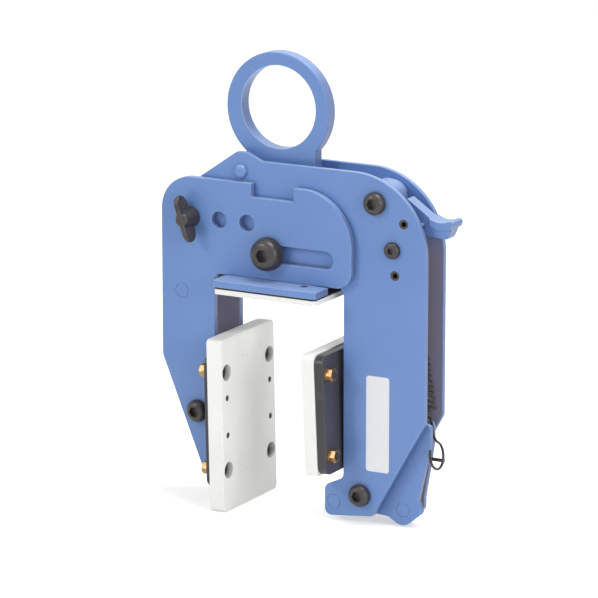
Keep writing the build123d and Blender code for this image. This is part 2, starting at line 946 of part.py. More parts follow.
def rest_screws():
    drive = Pos(0, 0, -rest_screw_head_h / 4) * extrude(
        RegularPolygon(rest_screw_d / 3, 6), amount=rest_screw_head_h / 4)
    return group(*[Pos(x, y, rest_z) * (rest_screw(0) - drive) for x, y in rest_screw_places])


# Lock lever


def lock_lever():
    blade = outline(
        (lock_nose_x, lock_nose_z, edge_round),
        (lock_hollow_x, lock_hollow_z, lock_hollow_r),
        (lock_tip_x, lock_tip_z, lock_tip_r),
        (lock_chin_x, lock_chin_z, lock_tip_r),
        (lock_x, lock_z - lock_boss_d / 2, 0),
        (lock_x - lock_heel, lock_z, 0),
    )
    bore = disc(lock_at, hollow_pin_d + 2 * running)
    lever = slab(blade + disc(lock_at, lock_boss_d) - bore, -lock_half, lock_half)
    lever += tube(lock_at, lock_collar_d, hollow_pin_d + 2 * running, -lock_collar, lock_collar)
    beyond = box_face(lock_tab_left, 2 * lock_tip_x, 2 * lock_chin_z, 0)
    tab = (blade - Pos(0, -lock_tab_thickness) * blade) & beyond
    lever += slab(tab, -lock_half - lock_tab_lip, lock_tab_rear)
    return lever + rod((lock_peg_x, lock_peg_z), lock_peg_d, -lock_half - lock_peg_h, -lock_half)


# Springs: one unbroken wire along arcs and lines


def biarc(start, heading, end, final):
    """Two arcs that leave start along heading and reach end along final."""
    run = end - start
    a = 2 * (1 - heading.dot(final))
    b = 2 * run.dot(heading + final)
    reach = 2 * run.dot(run) / (math.sqrt(b * b + 4 * a * run.dot(run)) + b)
    near = start + heading * reach
    far = end - final * reach
    middle = (near + far) * 0.5
    return [Edge.make_tangent_arc(start, heading, middle), Edge.make_tangent_arc(middle, far - near, end)]


def helix(place, first, last):
    """Biarcs of up to half a turn along a helix that place gives, by its angle, as point and heading."""
    steps = math.ceil((last - first) / math.pi)
    angles = [first + (last - first) * i / steps for i in range(steps + 1)]
    edges = []
    for low, high in zip(angles, angles[1:]):
        edges += biarc(*place(low), *place(high))
    return edges


def wire_solid(edges, diameter):
    start = edges[0] @ 0
    section = Plane(origin=start, z_dir=edges[0] % 0) * Circle(diameter / 2)
    return sweep(section, path=Wire(edges))


def least_gap(edges, diameter, apart):
    """Least gap of the wire to itself, between points further apart along it than apart."""
    samples = 9
    points = []
    walked = 0.0
    for edge in edges:
        points += [(walked + edge.length * i / samples, edge @ (i / samples)) for i in range(samples)]
        walked += edge.length
    return min((q - p).length for s, p in points for t, q in points if t - s > apart) - diameter


def frame_point(origin, axes, amounts):
    return origin + sum((axis * amount for axis, amount in zip(axes, amounts)), Vector(0, 0, 0))


def coil_lead(span, bends, coil_r):
    """Lead angle at which the turns and the two bends beside them, of the given radii in all, fill a span."""
    wound = 2 * math.pi * coil_r * spring_turns + bends
    half_tangent = (math.sqrt(wound**2 + span**2 - bends**2) - wound) / (span + bends)
    return 2 * math.atan(half_tangent)


def tension_spring_path():
    """Hook on the pin, leg, coil, leg, and a round loop that stands across the lever's plates."""
    top = Vector(spring_top_x, 0, spring_top_z)
    foot = Vector(spring_foot_x, 0, spring_foot_z)
    depth = Vector(0, 1, 0)
    axes = (depth.cross(spring_down), depth, spring_down)
    coil_r = (spring_coil_d - spring_wire_d) / 2
    top_r = (hollow_pin_d + spring_wire_d) / 2 + wire_gap
    loop_r = spring_loop_d / 2
    loop_at = (foot - top).length - loop_r
    loop_top = loop_at - spring_loop_lead
    low_turn = loop_top - spring_low_leg
    lead = coil_lead(low_turn - spring_top_leg, top_r + spring_bend_r, coil_r)
    pitch = 2 * math.pi * coil_r * math.tan(lead)
    coil_start = spring_top_leg + top_r * math.tan(math.pi / 4 + lead / 2)
    side = -spring_bend_r

    def at(*amounts):
        return frame_point(top, axes, amounts)

    def towards(*amounts):
        return frame_point(Vector(0, 0, 0), axes, amounts)

    def place(angle):
        point = at(-coil_r * math.sin(angle), coil_r * (1 - math.cos(angle)),
                   coil_start + pitch * angle / (2 * math.pi))
        slope = towards(-math.cos(angle), math.sin(angle), math.tan(lead))
        return point, slope.normalized()

    def hook(turn):
        angle = math.radians(turn)
        return at(top_r * math.cos(angle), 0, top_r * math.sin(angle))

    def loop(turn):
        angle = math.radians(turn)
        return at(side, loop_r * math.cos(angle), loop_at + loop_r * math.sin(angle))

    last = 2 * math.pi * spring_turns
    return [
        Edge.make_three_point_arc(hook(-hook_sweep), hook(-hook_sweep / 2), hook(0)),
        Edge.make_line(hook(0), at(top_r, 0, spring_top_leg)),
        Edge.make_tangent_arc(at(top_r, 0, spring_top_leg), spring_down, place(0)[0]),
        *helix(place, 0, last),
        Edge.make_tangent_arc(*place(last), at(side, 0, low_turn)),
        Edge.make_line(at(side, 0, low_turn), at(side, 0, loop_top)),
        *biarc(at(side, 0, loop_top), spring_down, loop(0), spring_down),
        Edge.make_three_point_arc(loop(0), loop(spring_loop_sweep / 2), loop(spring_loop_sweep)),
    ]


def tension_spring():
    edges = tension_spring_path()
    half_turn = math.pi * (spring_coil_d - spring_wire_d) / 2
    print("tension spring, least gap:", round(least_gap(edges, spring_wire_d, half_turn), 3))
    return wire_solid(edges, spring_wire_d)


def tangent(centre, radius, other, other_radius, side):
    """Line that touches two circles on one side: the point on each and the angle of the first."""
    run = Vector(*other) - Vector(*centre)
    angle = math.atan2(run.Y, run.X) + side * math.acos((radius - other_radius) / run.length)
    unit = Vector(math.cos(angle), math.sin(angle))
    return angle, Vector(*centre) + unit * radius, Vector(*other) + unit * other_radius


def lock_spring_path():
    """Leg on the stay sleeve, coil round the lever's collar, leg under the lever's peg."""
    wire_r = lock_wire_d / 2
    coil_r = lock_collar_d / 2 + lock_coil_gap + wire_r
    seat_r = m8_sleeve_d / 2 + wire_gap + wire_r
    peg_r = lock_peg_d / 2 + wire_gap + wire_r
    first, leave, seat = tangent(lock_at, coil_r, stay_bolt_at, seat_r, 1)
    last, meet, peg = tangent(lock_at, coil_r, (lock_peg_x, lock_peg_z), peg_r, -1)
    full = 2 * math.pi
    wrap = (last - first) % full + full
    front = -lock_half - wire_gap - wire_r - lock_coil_rise

    def place(angle):
        """The coil sets off and arrives square to its axis, so both legs stay level."""
        share = (angle - first) / wrap
        y = front + lock_coil_rise * (share - math.sin(full * share) / full)
        climb = lock_coil_rise / wrap * (1 - math.cos(full * share))
        slope = Vector(-math.sin(angle) * coil_r, climb, math.cos(angle) * coil_r)
        point = Vector(lock_x + math.cos(angle) * coil_r, y, lock_z + math.sin(angle) * coil_r)
        return point, slope.normalized()

    start, heading = place(first)
    end, final = place(first + wrap)
    seat_leg = (leave - seat).length + lock_leg_spare
    peg_leg = (peg - meet).length + lock_leg_spare
    coil = helix(place, first, first + wrap)
    seat = Edge.make_line(start - heading * seat_leg, start)
    return [seat] + coil + [Edge.make_line(end, end + final * peg_leg)]


def lock_spring():
    edges = lock_spring_path()
    print("lock spring, least gap:", round(least_gap(edges, lock_wire_d, math.pi * lock_collar_d / 2), 3))
    return wire_solid(edges, lock_wire_d)


# The assembly, one entry for each node

nodes = {
    "lifting_eye": lifting_eye(),
    "eye_guide_pins": eye_guide_pins(),
    "body_plate_front": body_plate(),
    "body_plate_rear": rear_of(body_plate()),
    "body_stays": body_stays(),
    "pivot_bolts": group(body_bolt(rocker_at, m12), body_bolt(jaw_at, m12)),
    "pivot_nuts": group(hex_nut(rocker_at, m12, body_outer), hex_nut(jaw_at, m12, body_outer)),
    "pivot_sleeves": group(*[body_sleeve(at, m12_sleeve_d, m12_d) for at in (rocker_at, jaw_at)]),
    "stay_bolt": body_bolt(stay_bolt_at, m8),
    "stay_nut": hex_nut(stay_bolt_at, m8, body_outer),
    "stay_sleeve": body_sleeve(stay_bolt_at, m8_sleeve_d, m8_d),
    "guide_bolt": guide_bolt(),
    "guide_washers": group(guide_washer(), rear_of(guide_washer())),
    "guide_nut": hex_nut(guide_bolt_at, guide_screw, arm_outer + slot_play / 2 + guide_washer_h),
    "guide_sleeve": body_sleeve(guide_bolt_at, guide_sleeve_d, slot_bolt_d),
    "lock_pivot_pin": hollow_pin(lock_at),
    "spring_anchor_pin": hollow_pin(spring_top_at),
    "blank_label": blank_label(),
    "rocker_plate_front": rocker_plate(rocker_hub_d),
    "rocker_plate_rear": rear_of(rocker_plate(rocker_rear_hub_d)),
    "rocker_core": rocker_core(),
    "rocker_pins": rocker_pins(),
    "link_spacers": link_spacers(),
    "pull_link": pull_link(),
    "jaw_lever_front": lever_front(),
    "jaw_lever_rear": lever_rear(),
    "jaw_lever_pins": lever_pins(),
    "spring_post": spring_post(),
    "lever_spacers": lever_spacers(),
    "jaw_pad": jaw_leant(jaw_pad()),
    "jaw_backing": jaw_leant(jaw_backing()),
    "jaw_bracket": jaw_leant(jaw_bracket()),
    "jaw_pad_bolts": group(*map(jaw_leant, pad_bolts(jaw_face_x, jaw_rear_x, jaw_bolts))),
    "jaw_pad_washers": group(*map(jaw_leant, pad_washers(jaw_rear_x, 1, jaw_bolts))),
    "jaw_pad_nuts": group(*map(jaw_leant, pad_nuts(jaw_rear_x, 1, jaw_bolts))),
    "arm_plate_front": arm_plate(arm_top_z, arm_notch()),
    "arm_plate_rear": rear_of(arm_plate(arm_top_z - arm_rear_drop, [])),
    "arm_stay": arm_stay(),
    "rest_plate": rest_plate(),
    "rest_underlay": rest_underlay(),
    "rest_pad": rest_pad(),
    "rest_screws": rest_screws(),
    "wing_bolt": wing_bolt(),
    "fixed_pad": fixed_leant(fixed_pad()),
    "fixed_backing": fixed_leant(fixed_backing()),
    "fixed_bracket": fixed_leant(fixed_bracket()),
    "fixed_pad_bolts": group(*map(fixed_leant, pad_bolts(fixed_face_x, fixed_rear_x, fixed_bolts))),
    "fixed_pad_washers": group(*map(fixed_leant, pad_washers(fixed_rear_x, -1, fixed_bolts))),
    "fixed_pad_nuts": group(*map(fixed_leant, pad_nuts(fixed_rear_x, -1, fixed_bolts))),
    "fixed_pivot_bolt": fixed_pivot_bolt(),
    "fixed_pivot_nut": hex_nut(fixed_pivot_at, m12, arm_outer),
    "fixed_pivot_sleeve": fixed_pivot_sleeve(),
    "lock_lever": lock_lever(),
    "lock_spring": lock_spring(),
    "tension_spring": tension_spring(),
}

print("eye lift:", round(lift, 2), " arm travel:", slide_travel)
os.makedirs("parts", exist_ok=True)
for name, piece in nodes.items():
    export_step(piece, f"parts/{name}.step")
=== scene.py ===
import json
import math

import bmesh
import bpy
from mathutils import Matrix, Vector

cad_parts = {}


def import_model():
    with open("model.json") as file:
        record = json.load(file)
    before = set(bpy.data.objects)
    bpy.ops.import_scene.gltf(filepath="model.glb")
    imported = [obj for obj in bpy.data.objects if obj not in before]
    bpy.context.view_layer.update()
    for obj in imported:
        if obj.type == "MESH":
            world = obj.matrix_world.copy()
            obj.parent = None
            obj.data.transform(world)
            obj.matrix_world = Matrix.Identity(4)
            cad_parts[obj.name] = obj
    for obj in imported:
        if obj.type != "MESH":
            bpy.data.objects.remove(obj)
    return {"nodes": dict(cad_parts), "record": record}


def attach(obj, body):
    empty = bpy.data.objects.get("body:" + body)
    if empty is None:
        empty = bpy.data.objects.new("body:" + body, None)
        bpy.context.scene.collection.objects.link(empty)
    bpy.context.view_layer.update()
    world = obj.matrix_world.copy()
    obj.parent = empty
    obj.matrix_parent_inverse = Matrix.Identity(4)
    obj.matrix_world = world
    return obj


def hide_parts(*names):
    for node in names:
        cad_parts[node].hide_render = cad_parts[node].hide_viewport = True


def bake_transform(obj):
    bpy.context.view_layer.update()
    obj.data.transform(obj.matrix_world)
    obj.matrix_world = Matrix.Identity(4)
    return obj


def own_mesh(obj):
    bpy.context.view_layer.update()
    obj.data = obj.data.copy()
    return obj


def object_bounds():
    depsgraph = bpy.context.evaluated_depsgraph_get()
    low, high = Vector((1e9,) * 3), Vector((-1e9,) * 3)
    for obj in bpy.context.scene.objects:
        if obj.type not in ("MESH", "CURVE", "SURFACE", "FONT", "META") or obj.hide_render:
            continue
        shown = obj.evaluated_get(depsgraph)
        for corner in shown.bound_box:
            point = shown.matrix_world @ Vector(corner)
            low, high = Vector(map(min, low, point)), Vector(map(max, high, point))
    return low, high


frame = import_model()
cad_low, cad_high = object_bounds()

# Panel lifting clamp. Metres, in the frame of the CAD model: +Z up, the front at -Y, the origin in the
# middle of the eye's hole.

MM = 0.001
FULL_TURN = 2 * math.pi


def flat(x, z, y=0.0):
    """Point from sizes in millimetres: across the plates, up, and behind their mid plane."""
    return Vector((x * MM, y * MM, z * MM))


def steps(first, last, count):
    """Evenly spaced numbers from first to last, with both ends."""
    return [first + (last - first) * i / count for i in range(count + 1)]


def add_object(name, data):
    """Puts a mesh, a lamp or a camera into the scene."""
    piece = bpy.data.objects.new(name, data)
    bpy.context.scene.collection.objects.link(piece)
    return piece


# Camera

PICTURE = 598  # pixels, across and down
PIXELS_PER_METRE = 1212.0  # at the eye
EYE_U, EYE_V = 282.0, 106.0  # pixel that shows the middle of the eye's hole
AZIMUTH, ELEVATION = math.radians(29.1), math.radians(13.5)
DISTANCE = 3.4
SENSOR = 36.0  # millimetres
CLIP_END = 100


def photo_camera():
    """Camera of the photograph's view: far off, to the right and a little above."""
    level, half = math.cos(ELEVATION), PICTURE / 2
    back = Vector((math.sin(AZIMUTH) * level, -math.cos(AZIMUTH) * level, math.sin(ELEVATION)))
    right = Vector((math.cos(AZIMUTH), math.sin(AZIMUTH), 0))
    up = back.cross(right)
    focal = PIXELS_PER_METRE * DISTANCE
    place = DISTANCE * (back - (EYE_U - half) / focal * right - (half - EYE_V) / focal * up)
    data = bpy.data.cameras.new("camera")
    data.sensor_width = SENSOR
    data.lens = focal / PICTURE * SENSOR
    data.clip_end = CLIP_END
    camera = add_object("camera", data)
    turn = Matrix((right, up, back)).transposed().to_4x4()
    camera.matrix_world = Matrix.Translation(place) @ turn
    bpy.context.scene.camera = camera


# Materials. A spread is the two values at which a mask starts and is full, a result what it gives there.

MIX_SHARE, MIX_FIRST, MIX_SECOND, MIX_RESULT = 0, 6, 7, 2  # colour sockets of the Mix node
EDGE_SAMPLES, CORNER_SAMPLES, DEEP_SAMPLES = 6, 6, 8
CORNER_OPENNESS, CORNER_RESULT = (0.35, 0.85), (1.0, 0.0)
HOLLOW_OPENNESS, DEEP_OPENNESS = (0.80, 0.42), (0.74, 0.42)
DEEP_DISTANCE = 60.0 * MM
INWARD_REACH = (1.5 * MM, 3.0 * MM)
BELOW_BEAM = (-80.0 * MM, -115.0 * MM)


def rgb(red, green, blue):
    return (red, green, blue, 1.0)


class Shader:
    """A material with a Principled shader, a colour made of layers, and short calls that add nodes."""

    def __init__(self, name):
        self.material = bpy.data.materials.new(name)
        self.material.use_nodes = True
        self.tree = self.material.node_tree
        self.surface = self.tree.nodes["Principled BSDF"]
        coordinates = self.add("ShaderNodeTexCoord")
        self.place, self.normal = coordinates.outputs["Object"], coordinates.outputs["Normal"]
        self.colour = None

    def add(self, kind, inputs=None, **settings):
        node = self.tree.nodes.new(kind)
        for name, value in settings.items():
            setattr(node, name, value)
        for name, value in (inputs or {}).items():
            self.put(node.inputs[name], value)
        return node

    def put(self, socket, value):
        """Links an output to the socket, or sets a plain value on it."""
        if isinstance(value, bpy.types.NodeSocket):
            self.tree.links.new(value, socket)
        else:
            socket.default_value = value

    def maths(self, operation, a, b, clamp=True):
        node = self.add("ShaderNodeMath", {0: a, 1: b}, operation=operation, use_clamp=clamp)
        return node.outputs["Value"]

    def mix(self, share, first, second):
        node = self.add("ShaderNodeMix", {MIX_SHARE: share, MIX_FIRST: first, MIX_SECOND: second},
                        data_type="RGBA")
        return node.outputs[MIX_RESULT]

    def along(self, vector, axis):
        return self.add("ShaderNodeSeparateXYZ", {"Vector": vector}).outputs[axis]

    def ramp(self, value, spread, result=(0.0, 1.0)):
        return self.add("ShaderNodeMapRange", {
            "Value": value, "From Min": spread[0], "From Max": spread[1],
            "To Min": result[0], "To Max": result[1]}).outputs["Result"]

    def noise(self, scale, detail=2.0, roughness=0.5, stretch=None):
        """Noise in the piece's own space. Its scale is per metre."""
        place = self.place
        if stretch:
            place = self.add("ShaderNodeMapping", {"Vector": place, "Scale": stretch}).outputs["Vector"]
        return self.add("ShaderNodeTexNoise", {
            "Vector": place, "Scale": scale, "Detail": detail, "Roughness": roughness}).outputs["Fac"]

    def patches(self, scale, detail, roughness=0.5, stretch=None, spread=(0.3, 0.7), result=(0.0, 1.0)):
        """Noise with more contrast."""
        return self.ramp(self.noise(scale, detail, roughness, stretch), spread, result)

    def edges(self, radius, spread=(0.02, 0.25)):
        """Mask of the edges, out or in, from how far a rounded normal leans away from the plain one."""
        rounded = self.add("ShaderNodeBevel", {"Radius": radius}, samples=EDGE_SAMPLES).outputs["Normal"]
        plain = self.add("ShaderNodeNewGeometry").outputs["Normal"]
        product = self.add("ShaderNodeVectorMath", {0: rounded, 1: plain}, operation="DOT_PRODUCT")
        return self.ramp(self.maths("SUBTRACT", 1.0, product.outputs["Value"]), spread)

    def facing(self, axis, spread):
        """Mask of the faces that look along one of the piece's own axes."""
        return self.ramp(self.along(self.normal, axis), spread)

    def openness(self, distance, samples, **settings):
        """Share of the space in front of a face that is free up to a distance."""
        return self.add("ShaderNodeAmbientOcclusion", {"Distance": distance},
                        samples=samples, **settings).outputs["AO"]

    def crevices(self, distance):
        """Mask of the corners, where little space is open in front of a face."""
        return self.ramp(self.openness(distance, CORNER_SAMPLES), CORNER_OPENNESS, CORNER_RESULT)

    def hollows(self, distance):
        """Mask of the insides of a piece's own holes."""
        return self.ramp(self.openness(distance, DEEP_SAMPLES, only_local=True), HOLLOW_OPENNESS)

    def inner_faces(self):
        """Mask of the faces below the beam that look at the mid plane from deep between the plates."""
        place, normal = self.along(self.place, "Y"), self.along(self.normal, "Y")
        outward = self.maths("MULTIPLY", place, normal, clamp=False)
        inward = self.ramp(self.maths("MULTIPLY", outward, -1.0), INWARD_REACH)
        enclosed = self.ramp(self.openness(DEEP_DISTANCE, DEEP_SAMPLES), DEEP_OPENNESS)
        below = self.ramp(self.along(self.place, "Z"), BELOW_BEAM)
        return self.maths("MULTIPLY", inward, self.maths("MULTIPLY", enclosed, below))

    def layer(self, colour, mask, share=None):
        """Lays a colour over those below it, all of it or a share, which is a number or one more mask."""
        if share is not None:
            mask = self.maths("MULTIPLY", mask, share)
        self.colour = self.mix(mask, self.colour, colour)

    def finish(self, roughness, relief, strength, depth, **fixed):
        """Connects the colour, the roughness and a fine relief, and sets what is the same all over."""
        bump = self.add("ShaderNodeBump", {"Height": relief, "Strength": strength, "Distance": depth})
        varied = {"Base Color": self.colour, "Roughness": roughness, "Normal": bump.outputs["Normal"]}
        for name, value in {**varied, **fixed}.items():
            self.put(self.surface.inputs[name], value)
        return self.material


def blue_paint():
    """Satin enamel with faint clouds and orange peel: painted shade on sides that look right, dust and a
    painted sheen on tops, a pale line of painted highlight and paint worn thin on edges, chipped and scuffed,
    with painted shade and some soiling in corners, and dust and painted shade between the plates."""
    deep, light, speck = rgb(0.126, 0.238, 0.530), rgb(0.144, 0.262, 0.562), rgb(0.21, 0.34, 0.66)
    painted_side_shade, dust_and_painted_top_sheen, thin_paint_and_edge_highlight = rgb(0.11, 0.13, 0.24), rgb(0.46, 0.50, 0.58), rgb(0.64, 0.73, 0.92)
    steel, dirt_and_painted_corner_shade = rgb(0.24, 0.25, 0.28), rgb(0.075, 0.095, 0.17)
    dust, scuffed = rgb(0.33, 0.265, 0.29), rgb(0.26, 0.36, 0.60)
    s = Shader("blue_enamel")
    s.colour = s.mix(s.patches(scale=11.0, detail=4.0), deep, light)
    s.layer(speck, s.patches(scale=420.0, detail=3.0), share=0.10)
    # painted shade: sides that look along +X are made darker
    s.layer(painted_side_shade, s.facing("X", spread=(0.6, 0.9)), share=0.60)
    # dust and a painted sheen: faces that look up are made paler and greyer
    s.layer(dust_and_painted_top_sheen, s.facing("Z", spread=(0.5, 0.9)), share=0.30)
    # painted highlight, with paint worn thin: a pale blue line along the edges
    s.layer(thin_paint_and_edge_highlight, s.edges(radius=1.3 * MM),
            share=s.patches(scale=55.0, detail=5.0, roughness=0.65, spread=(0.36, 0.62), result=(0.35, 1.0)))
    s.layer(steel, s.edges(radius=0.7 * MM, spread=(0.10, 0.30)),
            share=s.patches(scale=150.0, detail=6.0, roughness=0.7, spread=(0.60, 0.66)))
    # painted shade, with some soiling: darker blue in corners and where parts meet
    s.layer(dirt_and_painted_corner_shade, s.crevices(distance=3.5 * MM),
            share=s.patches(scale=38.0, detail=4.0, spread=(0.35, 0.75), result=(0.15, 0.60)))
    # dust and painted shade: faces deep between the plates turn mauve grey, as shaded blue looks
    s.layer(dust, s.inner_faces(),
            share=s.patches(scale=26.0, detail=5.0, roughness=0.6, result=(0.65, 0.92)))
    s.layer(scuffed, s.patches(scale=30.0, detail=6.0, roughness=0.7, stretch=(1.0, 1.0, 0.35),
                               spread=(0.66, 0.78)), share=0.22)
    return s.finish(roughness=s.patches(scale=24.0, detail=4.0, result=(0.30, 0.42)),
                    relief=s.noise(scale=650.0), strength=0.10, depth=0.25 * MM, IOR=1.5)


def black_paint():
    """Semi-gloss black over steel: painted light on sides that look right, rubbed on edges, dust in places.
    """
    dark, light, painted_side_light = rgb(0.020, 0.020, 0.024), rgb(0.032, 0.031, 0.036), rgb(0.072, 0.066, 0.082)
    rubbed, dust = rgb(0.34, 0.34, 0.37), rgb(0.11, 0.105, 0.11)
    s = Shader("black_enamel")
    s.colour = s.mix(s.patches(scale=18.0, detail=4.0), dark, light)
    # painted light: sides that look along +X are made paler
    s.layer(painted_side_light, s.facing("X", spread=(0.55, 0.85)), share=0.9)
    s.layer(rubbed, s.edges(radius=0.9 * MM),
            share=s.patches(scale=70.0, detail=5.0, roughness=0.65, spread=(0.38, 0.64), result=(0.1, 0.8)))
    s.layer(dust, s.patches(scale=45.0, detail=6.0, roughness=0.7, spread=(0.55, 0.80), result=(0.0, 0.35)))
    return s.finish(roughness=s.patches(scale=30.0, detail=4.0, result=(0.30, 0.44)),
                    relief=s.noise(scale=600.0), strength=0.12, depth=0.25 * MM)


def oxide(name, dark, light, rubbed, roughness):
    """Oiled black oxide on steel: brownish patches, rubbed edges, fine machining grain."""
    s = Shader(name)
    s.colour = s.mix(s.patches(scale=90.0, detail=5.0, roughness=0.6, spread=(0.32, 0.68)), dark, light)
    s.layer(rubbed, s.edges(radius=0.35 * MM),
            share=s.patches(scale=140.0, detail=4.0, spread=(0.35, 0.65), result=(0.15, 0.8)))
    return s.finish(roughness=s.patches(scale=120.0, detail=4.0, result=roughness),
                    relief=s.noise(scale=900.0, detail=3.0, roughness=0.6), strength=0.15, depth=0.12 * MM,
                    Metallic=0.3)


def black_oxide():
    return oxide("black_oxide_steel", dark=rgb(0.034, 0.030, 0.030), light=rgb(0.072, 0.064, 0.062),
                 rubbed=rgb(0.28, 0.26, 0.25), roughness=(0.31, 0.46))


def spring_steel():
    return oxide("oiled_spring_wire", dark=rgb(0.014, 0.012, 0.012), light=rgb(0.038, 0.034, 0.032),
                 rubbed=rgb(0.07, 0.065, 0.06), roughness=(0.23, 0.38))


def yellow_zinc():
    """Yellow passivated zinc: gold that drifts to brown and olive, rubbed edges, darker in the corners."""
    dark, gold, brown = rgb(0.12, 0.060, 0.030), rgb(0.40, 0.235, 0.100), rgb(0.36, 0.20, 0.11)
    olive, rubbed, corner_darkening = rgb(0.34, 0.33, 0.16), rgb(0.60, 0.46, 0.27), rgb(0.10, 0.07, 0.045)
    s = Shader("yellow_zinc_plate")
    drift = s.noise(scale=120.0, detail=3.0)
    s.colour = s.mix(s.ramp(drift, spread=(0.30, 0.50)), dark, gold)
    s.layer(brown, s.ramp(drift, spread=(0.52, 0.66)))
    s.layer(olive, s.patches(scale=170.0, detail=2.0, spread=(0.58, 0.72), result=(0.0, 0.6)))
    s.layer(rubbed, s.edges(radius=0.4 * MM),
            share=s.patches(scale=200.0, detail=4.0, spread=(0.35, 0.65), result=(0.2, 0.9)))
    # darker in the corners
    s.layer(corner_darkening, s.crevices(distance=2.0 * MM), share=0.6)
    return s.finish(roughness=s.patches(scale=220.0, detail=3.0, result=(0.28, 0.46)),
                    relief=s.noise(scale=1100.0), strength=0.12, depth=0.1 * MM, Metallic=0.9)


def bright_steel():
    """Machined steel: fine turned grain, oil stains, darker in the corners."""
    clean, stained, corner_darkening = rgb(0.56, 0.56, 0.55), rgb(0.33, 0.31, 0.28), rgb(0.08, 0.07, 0.06)
    s = Shader("machined_steel")
    s.colour = s.mix(s.patches(scale=60.0, detail=5.0, roughness=0.6, spread=(0.45, 0.75)), clean, stained)
    # darker in the corners
    s.layer(corner_darkening, s.crevices(distance=2.5 * MM), share=0.7)
    grain = s.noise(scale=700.0, detail=3.0, roughness=0.6, stretch=(1, 6, 1))
    return s.finish(roughness=s.patches(scale=150.0, detail=4.0, result=(0.26, 0.42)),
                    relief=grain, strength=0.12, depth=0.08 * MM, Metallic=1.0)


def white_pad():
    """Moulded white rubber: fine grain, grey handling smudges, a cleaner rim, small flecks and painted shade
    in its holes.
    """
    cream, white, smudged = rgb(0.86, 0.86, 0.825), rgb(0.91, 0.91, 0.885), rgb(0.68, 0.68, 0.64)
    clean, fleck, painted_hole_shade = rgb(0.92, 0.92, 0.90), rgb(0.42, 0.41, 0.38), rgb(0.10, 0.10, 0.095)
    s = Shader("white_moulded_rubber")
    s.colour = s.mix(s.patches(scale=16.0, detail=5.0, roughness=0.6), cream, white)
    s.layer(smudged, s.patches(scale=34.0, detail=6.0, roughness=0.7, stretch=(1.0, 1.0, 0.5),
                               spread=(0.56, 0.80), result=(0.0, 0.30)))
    s.layer(clean, s.edges(radius=1.5 * MM), share=0.6)
    s.layer(fleck, s.patches(scale=260.0, detail=2.0, spread=(0.735, 0.76), result=(0.0, 0.5)))
    # painted shade: the insides of the pad's own holes are made nearly black
    s.layer(painted_hole_shade, s.hollows(distance=10.0 * MM), share=0.9)
    return s.finish(roughness=s.patches(scale=40.0, detail=4.0, result=(0.55, 0.72)),
                    relief=s.noise(scale=800.0, detail=3.0, roughness=0.6), strength=0.16, depth=0.2 * MM)


def black_rubber():
    """Matt black sheet rubber."""
    dark, light = rgb(0.014, 0.014, 0.015), rgb(0.032, 0.031, 0.030)
    s = Shader("black_sheet_rubber")
    s.colour = s.mix(s.patches(scale=70.0, detail=5.0), dark, light)
    return s.finish(roughness=s.patches(scale=50.0, detail=4.0, result=(0.72, 0.88)),
                    relief=s.noise(scale=900.0), strength=0.2, depth=0.2 * MM)


def white_label():
    """Blank sticker: faint fibre, greyer towards its rim."""
    dark, light, rim = rgb(0.74, 0.76, 0.79), rgb(0.79, 0.805, 0.825), rgb(0.62, 0.65, 0.70)
    s = Shader("blank_sticker")
    s.colour = s.mix(s.patches(scale=380.0, detail=3.0, roughness=0.6, stretch=(1.0, 1.0, 0.3)), dark, light)
    s.layer(rim, s.edges(radius=1.2 * MM), share=s.patches(scale=60.0, detail=4.0, result=(0.3, 0.9)))
    return s.finish(roughness=s.patches(scale=35.0, detail=3.0, result=(0.30, 0.42)),
                    relief=s.noise(scale=500.0), strength=0.05, depth=0.1 * MM)


MATERIALS = {
    "blue_paint": blue_paint(),
    "black_paint": black_paint(),
    "black_oxide": black_oxide(),
    "spring_steel": spring_steel(),
    "bright_steel": bright_steel(),
    "yellow_zinc": yellow_zinc(),
    "white_pad": white_pad(),
    "black_rubber": black_rubber(),
    "white_label": white_label(),
}


# Edges of the CAD solids: joined corners, then a small round

EDGE_ANGLE = math.radians(28)
JOIN_DISTANCE = 0.004 * MM
BEVEL_SEGMENTS = 2
EDGE_ROUNDS = {  # millimetres
    "blue_paint": 0.6, "black_paint": 0.5, "black_oxide": 0.25, "bright_steel": 0.2, "yellow_zinc": 0.15,
    "white_pad": 0.35, "black_rubber": 0.15, "white_label": 0.05,
}
ALREADY_ROUND = ("lifting_eye",)


def soften_group():
    """Node group that joins the split corners of a CAD mesh and shades it smooth except at its edges."""
    group = bpy.data.node_groups.new("join_corners", "GeometryNodeTree")
    for side in ("INPUT", "OUTPUT"):
        group.interface.new_socket("Geometry", in_out=side, socket_type="NodeSocketGeometry")
    first, last = group.nodes.new("NodeGroupInput"), group.nodes.new("NodeGroupOutput")
    strip = group.nodes.new("GeometryNodeRemoveAttribute")
    strip.inputs["Name"].default_value = "custom_normal"
    merge = group.nodes.new("GeometryNodeMergeByDistance")
    merge.inputs["Distance"].default_value = JOIN_DISTANCE
    faces = group.nodes.new("GeometryNodeSetShadeSmooth")
    angle = group.nodes.new("GeometryNodeInputMeshEdgeAngle")
    gentle = group.nodes.new("FunctionNodeCompare")
    gentle.operation = "LESS_THAN"
    gentle.inputs[1].default_value = EDGE_ANGLE
    edges = group.nodes.new("GeometryNodeSetShadeSmooth")
    edges.domain = "EDGE"
    group.links.new(angle.outputs["Unsigned Angle"], gentle.inputs[0])
    group.links.new(gentle.outputs["Result"], edges.inputs["Shade Smooth"])
    chain = [first, strip, merge, faces, edges, last]
    for a, b in zip(chain, chain[1:]):
        group.links.new(a.outputs[0], b.inputs[0])
    return group


SOFTEN = soften_group()


